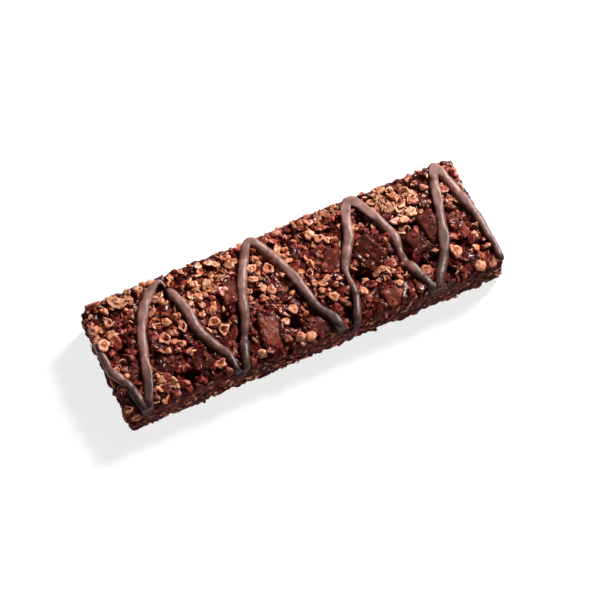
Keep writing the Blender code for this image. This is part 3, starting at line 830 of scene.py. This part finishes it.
def drape(tree, guides, normals):
    """Return the guide points moved up to rest on the pieces below, without following small dips."""
    heights = []
    for guide, normal in zip(guides, normals):
        across = np.cross(normal, (0.3, 0.9, 0.1))
        spots = (guide, guide + across * 0.6, guide - across * 0.6)
        heights.append(np.mean([(land(tree, spot, normal) - guide) @ normal for spot in spots]))
    heights = np.array(heights)
    rows = len(heights)
    held = np.array([heights[max(0, i - DRIZZLE_REACH):i + DRIZZLE_REACH + 1].max() for i in range(rows)])
    for _ in range(DRIZZLE_SMOOTHING):
        held[1:-1] = (held[:-2] + 2 * held[1:-1] + held[2:]) / 4
    return guides + normals * (held + DRIZZLE_BED)[:, None]


def drizzle_swell(line):
    """Return the share of the full width at each point of the drizzle."""
    swell = 1 + 0.07 * ripple(line, 9.0, 30) + 0.05 * ripple(line, 3.0, 31)
    for x, y, reach, share in DRIZZLE_CHANGES:
        away = np.hypot(line[:, 0] - x, line[:, 1] - y) / reach
        swell *= 1 + (share - 1) * np.exp(-away ** 2)
    along = np.arange(len(line)) * DRIZZLE_STEP
    ends = np.minimum(along, along[-1] - along)
    return swell * np.sqrt(np.clip(ends / DRIZZLE_END, 0.02, 1))


def tube_faces(rows):
    """Return the triangles of a closed tube: rows of rings, then the middles of its first and last rings."""
    faces = []
    middle = rows * DRIZZLE_SIDES
    last = middle - DRIZZLE_SIDES
    for side in range(DRIZZLE_SIDES):
        following = (side + 1) % DRIZZLE_SIDES
        for start in range(0, last, DRIZZLE_SIDES):
            a, b = start + side, start + following
            faces.append((a, b, b + DRIZZLE_SIDES))
            faces.append((a, b + DRIZZLE_SIDES, a + DRIZZLE_SIDES))
        faces.append((middle, following, side))
        faces.append((middle + 1, last + side, last + following))
    return faces


def make_drizzle(line, ups):
    """Make the drizzle: a soft bead, round above and flat below, that swells and thins a little."""
    ways = np.gradient(line, axis=0)
    ways /= np.linalg.norm(ways, axis=1, keepdims=True)
    sides = np.cross(ways, ups)
    sides /= np.linalg.norm(sides, axis=1, keepdims=True)
    swell = drizzle_swell(line)[:, None, None]
    turns = np.arange(DRIZZLE_SIDES) * 2 * math.pi / DRIZZLE_SIDES
    section_side = np.cos(turns) * DRIZZLE_WIDTH / 2
    shares = np.where(np.sin(turns) > 0, DRIZZLE_SHARE_ABOVE, 1 - DRIZZLE_SHARE_ABOVE)
    section_up = np.sin(turns) * shares * DRIZZLE_HEIGHT
    rings = (
        line[:, None, :]
        + sides[:, None, :] * (section_side[None, :, None] * swell)
        + ups[:, None, :] * (section_up[None, :, None] * swell)
    ).reshape(-1, 3)
    centres = np.repeat(line, DRIZZLE_SIDES, axis=0)
    rings = centres + (rings - centres) * (1 + 0.05 * ripple(rings, 1.6, 34))[:, None]
    rough = make_mesh("drizzle_rough", np.vstack((rings, line[0], line[-1])), tube_faces(len(line)))
    points, faces, _ = fuse(rough, DRIZZLE_VOXEL, smoothing=3)
    clean = np.clip(0.6 + 0.3 * ripple(points, 5.0, 32), 0, 1)
    # Darker towards the front and lighter towards the back: painted shade on the legs and feet at the front,
    # with a little random tone
    tone = np.clip(0.55 + 0.62 * points[:, 1] / (BAR_WIDTH / 2) + 0.2 * ripple(points, 14.0, 33), 0, 1)
    drizzle = make_mesh("chocolate_drizzle", points, faces, tone=tone, clean=clean)
    drizzle.data.materials.append(mat_drizzle())
    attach(drizzle, "root")


class Ground:
    """Knows which places the chunks, gaps, drizzle and chosen puffs take up."""

    def __init__(self, chunks, line):
        self.chunks = {number: surface_tree([surface(chunk)]) for number, chunk in enumerate(chunks, start=1)}
        self.shown = np.array([puff[:3] for puff in SHOWN_PUFFS])
        self.line = point_tree(line)

    def over_chunk(self, place, normal, margin):
        """Return the number of the chunk that a place is on or nearer to than the margin, or 0."""
        if normal[2] < 0.7:
            return 0
        above = Vector((place[0], place[1], BAR_HEIGHT + 5))
        for number, tree in self.chunks.items():
            top = tree.ray_cast(above, Vector((0, 0, -1)))[0]
            if top is not None or tree.find_nearest(Vector(place), margin)[0] is not None:
                return number
        return 0

    def in_gap(self, place, normal):
        """Tell whether a place is in one of the dark gaps, apart from its rim."""
        if normal[2] < 0.7:
            return False
        return any(math.hypot(place[0] - x, place[1] - y) < radius * GAP_SHARE for x, y, radius, _ in GAPS)

    def under_drizzle(self, place, clearance):
        """Tell whether a place is nearer to the drizzle's line than the clearance."""
        return self.line.find(place)[2] < clearance

    def near_shown(self, place, normal, margin):
        """Tell whether a place is under a chosen puff or nearer to it than the margin."""
        if normal[2] < 0.7:
            return False
        away = np.hypot(self.shown[:, 0] - place[0], self.shown[:, 1] - place[1])
        return bool((away < self.shown[:, 2] / 2 + margin).any())


def patch_values(place, normal):
    """Return how much lighter a place's pieces are, partly with painted light and shade, and what share is
    bare of cocoa.
    """
    # On the sides and underside, the front's pieces are much lighter: painted fill light on the face turned
    # away from the key
    if normal[2] < 0.5:
        return (0.45, 0.24) if normal[1] < -0.5 else (0.1, 0.16)
    # On top, pieces get lighter towards the back, partly their own tone and partly painted light falling from
    # the back; the left back is lighter still
    back = place[1] / (BAR_WIDTH / 2)
    left_back = smoothstep(0, 0.8, back) * smoothstep(8, -2, place[0])
    lighter = 0.12 + 0.26 * back + 0.55 * left_back
    bare = 0.24 + 0.16 * back + 0.24 * left_back
    for x, y, reach_x, reach_y, lightness, share in TONE_AND_SHADE_PATCHES:
        weight = math.exp(-((place[0] - x) / reach_x) ** 2 - ((place[1] - y) / reach_y) ** 2)
        lighter += lightness * weight
        bare += share * weight
    return lighter, max(0.02, bare)


def piece_tone(place, normal, rng):
    """Return the lightness of one piece at a place, which holds painted light and shade, and whether it is
    bare of cocoa.
    """
    lighter, bare = patch_values(place, normal)
    return min(1.0, max(0.0, rng.uniform(-0.1, 1.15) + lighter)), rng.random() < bare


def cluster_piece(kind, rng):
    """Return the batch, shape, lift and tilt of one piece of a cluster."""
    if kind == "large_flake":
        made = flake_piece((rng.uniform(3.2, 4.2), rng.uniform(2.5, 3.1), 0.5), rng)
        return "toasted_oats", made, rng.uniform(0.7, 1.3), 0.45
    if kind == "pale_flake":
        length = rng.uniform(2.4, 4.2)
        made = flake_piece((length, length * rng.uniform(0.6, 0.85), 0.5), rng)
        return "toasted_oats", made, rng.uniform(0.0, 0.5), 0.45
    if kind == "sliver":
        made = sliver_piece(rng.uniform(1.8, 3.6), rng)
        return "bran_slivers", made, rng.uniform(0.2, 0.6), 0.5
    made = nugget_piece(rng.uniform(1.2, 2.2), rng, BALL_LARGE)
    return "golden_nuggets", made, rng.uniform(0.1, 0.4), 0.8


class Scatter:
    """Covers the bar with oats, puffed grains, slivers and crumbs, layer by layer."""

    def __init__(self, core, chunks, line):
        self.rng = random.Random(17)
        self.numbers = np.random.default_rng(21)
        self.ground = Ground(chunks, line)
        self.base = [surface(piece) for piece in [core] + chunks]
        self.batches = {name: Batch(name) for name in COATED_KINDS + PALE_KINDS + PUFFED_KINDS}
        self.settle()

    def settle(self):
        """Let later pieces land on all that is there, apart from the thin slivers."""
        loose = [batch for name, batch in self.batches.items() if batch.count and name != "bran_slivers"]
        self.tree = surface_tree(self.base + [batch.surface() for batch in loose])

    def put(self, name, made, place, normal, tone, lift, tilt):
        """Set one piece on the surface, lifted and tilted, and add it to its batch."""
        points, faces, clean = made
        seat = land(self.tree, place, normal)
        tilts = (self.rng.uniform(-tilt, tilt), self.rng.uniform(-tilt, tilt))
        turned = axes_along(normal, self.rng.uniform(0, 2 * math.pi), tilts)
        offsets = points @ turned.T + np.asarray(normal) * lift
        bare = smoothstep(-0.3, SYRUP_REACH, offsets @ np.asarray(normal))
        self.batches[name].add(move_inside(offsets + seat), faces, tone, clean * (0.3 + 0.7 * bare))

    def spots(self, count, spacing, blocked, underside=True):
        """Return the places and normals of one layer's pieces."""
        places, normals = random_places(count, self.numbers, underside)
        return zip(*spread(places, normals, spacing, blocked))

    def on_bare_chunk(self, place, normal, share):
        """Tell whether a place is on a chunk that stays bare there."""
        number = self.ground.over_chunk(place, normal, 0.3)
        return number > 0 and (number not in SPRINKLED or self.rng.random() < share)

    def blocks_large(self, place, normal):
        """Tell whether no nugget, puff or loose sliver may lie at a place."""
        ground = self.ground
        return (
            ground.over_chunk(place, normal, 1.0) or ground.in_gap(place, normal)
            or ground.under_drizzle(place, DRIZZLE_CLEARANCE) or ground.near_shown(place, normal, 0.7)
        )

    def blocks_flake(self, place, normal):
        """Tell whether no oat may lie at a place."""
        return (
            abs(normal[2]) < 0.8 or self.on_bare_chunk(place, normal, 0.5)
            or self.ground.in_gap(place, normal) or self.ground.near_shown(place, normal, 0.5)
        )

    def blocks_crumb(self, place, normal):
        """Tell whether no crumb may lie at a place. Chunks and gaps get only a few."""
        return (
            (self.on_bare_chunk(place, normal, 0.4) and self.rng.random() < CHUNK_CRUMBS_OUT)
            or (self.ground.in_gap(place, normal) and self.rng.random() < GAP_CRUMBS_OUT)
            or self.ground.near_shown(place, normal, 0.0)
        )

    def set_shown_puffs(self):
        """Set each puffed grain that shows by itself, turned mostly up."""
        up = np.array((0.0, 0.0, 1.0))
        for x, y, diameter, opening, tone in SHOWN_PUFFS:
            place, normal = on_block(np.array(((x, y, CORE_TOP),)))
            made = puff_piece(diameter, opening, self.rng)
            way = normal[0] * 0.4 + up * 0.6
            self.put("puffed_grains", made, place[0], way, tone, lift=diameter * 0.16, tilt=0.35)

    def set_clusters(self):
        """Set the pieces of each cluster."""
        rng = self.rng
        for x, y, reach_x, reach_y, kind, count, tone in CLUSTERS:
            for _ in range(count):
                angle = rng.uniform(0, 2 * math.pi)
                away = math.sqrt(rng.random())
                spot = (x + math.cos(angle) * away * reach_x, y + math.sin(angle) * away * reach_y, CORE_TOP)
                place, normal = on_block(np.array((spot,)))
                lightness = min(1.0, max(0.0, tone + rng.uniform(-0.2, 0.2)))
                name, made, lift, tilt = cluster_piece(kind, rng)
                self.put(name, made, place[0], normal[0], lightness, lift, tilt)

    def lay_nuggets(self):
        """Lay broken oats and grains, cocoa-coated or golden."""
        rng = self.rng
        for place, normal in self.spots(NUGGET_TRIES, NUGGET_SPACING, self.blocks_large, underside=False):
            size = rng.uniform(*NUGGET_SIZE)
            top = normal[2] > 0.5
            made = nugget_piece(size, rng, BALL_LARGE if size > LARGE_NUGGET else BALL_SMALL)
            tone, golden = piece_tone(place, normal, rng)
            name = "golden_nuggets" if golden else "cocoa_nuggets"
            lift = size * (rng.uniform(-0.25, 0.08) if top else rng.uniform(-0.15, 0.08))
            self.put(name, made, place, normal, tone, lift, tilt=0.8 if top else 0.4)

    def lay_puffs(self):
        """Lay small puffed grains, fewer on the sides."""
        rng = self.rng
        for place, normal in self.spots(PUFF_TRIES, PUFF_SPACING, self.blocks_large, underside=False):
            if normal[2] < 0.5 and rng.random() < SIDE_PUFFS_OUT:
                continue
            diameter = rng.uniform(*PUFF_SIZE)
            made = puff_piece(diameter, rng.choice(PUFF_OPENINGS), rng)
            tone, _ = piece_tone(place, normal, rng)
            lift = diameter * rng.uniform(-0.1, 0.12)
            self.put("puffed_grains", made, place, normal, tone, lift, tilt=0.8)

    def lay_flakes(self):
        """Lay rolled oats on the top and the underside, flat where the drizzle will lie."""
        rng = self.rng
        for place, normal in self.spots(FLAKE_TRIES, FLAKE_SPACING, self.blocks_flake):
            length = rng.uniform(*FLAKE_LENGTH)
            size = (length, length * rng.uniform(0.45, 0.8), rng.uniform(*FLAKE_THICKNESS))
            made = flake_piece(size, rng)
            tone, pale = piece_tone(place, normal, rng)
            flat = self.ground.under_drizzle(place, 1.8)
            lift = rng.uniform(-0.25, 0.0) if flat else rng.uniform(-0.35, 0.3)
            name = "toasted_oats" if pale else "coated_oats"
            self.put(name, made, place, normal, tone, lift, tilt=0.12 if flat else 0.5)

    def lay_crumbs(self):
        """Lay crumbs all over, fewer on the sides and the underside."""
        rng = self.rng
        for place, normal in self.spots(CRUMB_TRIES, CRUMB_SPACING, self.blocks_crumb):
            if normal[2] < 0.5 and rng.random() < SIDE_CRUMBS_OUT:
                continue
            size = rng.uniform(*CRUMB_SIZE)
            made = nugget_piece(size, rng, BALL_SMALL)
            tone, golden = piece_tone(place, normal, rng)
            name = "golden_crumbs" if golden else "cocoa_crumbs"
            self.put(name, made, place, normal, tone, lift=-0.15 * size, tilt=1.0)

    def lay_slivers(self):
        """Lay slivers of bran."""
        for place, normal in self.spots(SLIVER_TRIES, SLIVER_SPACING, self.blocks_large):
            made = sliver_piece(self.rng.uniform(*SLIVER_LENGTH), self.rng)
            tone, _ = piece_tone(place, normal, self.rng)
            self.put("bran_slivers", made, place, normal, tone, lift=0.25, tilt=0.4)

    def lay_all(self):
        """Lay every layer, each on the ones before it."""
        self.set_shown_puffs()
        self.set_clusters()
        self.lay_nuggets()
        self.lay_puffs()
        self.settle()
        self.lay_flakes()
        self.settle()
        self.lay_crumbs()
        self.lay_slivers()
        self.settle()


def add_floor():
    """Make the pale floor."""
    bpy.ops.mesh.primitive_plane_add(size=FLOOR_SIZE, location=(0, 0, 0))
    floor = bpy.context.object
    floor.name = "floor"
    material = bpy.data.materials.new("floor_white")
    material.use_nodes = True
    shader = material.node_tree.nodes["Principled BSDF"]
    shader.inputs["Base Color"].default_value = (FLOOR_GREY, FLOOR_GREY, FLOOR_GREY, 1.0)
    shader.inputs["Roughness"].default_value = 0.9
    shader.inputs["Specular IOR Level"].default_value = 0.1
    shader.inputs["Emission Color"].default_value = (1.0, 1.0, 1.0, 1.0)
    shader.inputs["Emission Strength"].default_value = FLOOR_GLOW
    floor.data.materials.append(material)


def add_key_light():
    """Add the square light that faces the bar from the picture's upper right."""
    data = bpy.data.lights.new("key", "AREA")
    data.energy = KEY_POWER
    data.color = KEY_COLOUR
    data.size = KEY_SIZE
    light = bpy.data.objects.new("key", data)
    light.location = KEY_DIRECTION * KEY_DISTANCE
    light.rotation_euler = KEY_DIRECTION.to_track_quat("Z", "Y").to_euler()
    bpy.context.scene.collection.objects.link(light)


def add_surround():
    """Add soft warm light from all round."""
    world = bpy.data.worlds.new("surround")
    world.use_nodes = True
    world.node_tree.nodes["Background"].inputs["Color"].default_value = SURROUND_COLOUR
    world.node_tree.nodes["Background"].inputs["Strength"].default_value = SURROUND_STRENGTH
    bpy.context.scene.world = world


def add_camera():
    """Look at the bar as the photograph does, with the bar at the same place in the picture."""
    right = Vector((math.cos(VIEW_TURN), -math.sin(VIEW_TURN), 0))
    back = Vector((
        -math.sin(VIEW_TURN) * math.cos(VIEW_ELEVATION),
        -math.cos(VIEW_TURN) * math.cos(VIEW_ELEVATION),
        math.sin(VIEW_ELEVATION),
    ))
    up = back.cross(right)
    distance = FOCAL_LENGTH / SENSOR_WIDTH * PICTURE_WIDTH / PIXELS_PER_MM * MM
    middle = Vector((0, 0, BAR_HEIGHT / 2 * MM))
    aside = (PICTURE_WIDTH / 2 - BAR_PIXEL[0]) / PIXELS_PER_MM * MM
    below = (PICTURE_WIDTH / 2 - BAR_PIXEL[1]) / PIXELS_PER_MM * MM
    data = bpy.data.cameras.new("camera")
    data.lens = FOCAL_LENGTH
    data.sensor_width = SENSOR_WIDTH
    data.clip_start = NEAR_CLIP
    camera = bpy.data.objects.new("camera", data)
    camera.location = middle + back * distance + right * aside - up * below
    camera.rotation_euler = back.to_track_quat("Z", "Y").to_euler()
    bpy.context.scene.collection.objects.link(camera)
    bpy.context.scene.camera = camera


def build():
    """Build the looks of the bar, its stage, lights and camera."""
    add_camera()
    add_key_light()
    add_surround()
    add_floor()
    core = make_core(random.Random(1))
    core.data.materials.append(mat_core())
    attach(core, "root")
    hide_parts("bar")
    chocolate = mat_chunk()
    chunks = [make_chunk(node, number) for number, node in enumerate(CHUNK_NODES, start=1)]
    for chunk in chunks:
        chunk.data.materials.append(chocolate)
    guides, ups = lay_route()
    scatter = Scatter(core, chunks, guides)
    scatter.lay_all()
    make_drizzle(drape(scatter.tree, guides, ups), ups)
    for material, kinds in (
        (mat_coated(), COATED_KINDS), (mat_pale(), PALE_KINDS), (mat_puff(), PUFFED_KINDS)
    ):
        for name in kinds:
            scatter.batches[name].build(material)
    bpy.context.scene.view_settings.view_transform = "Standard"


build()
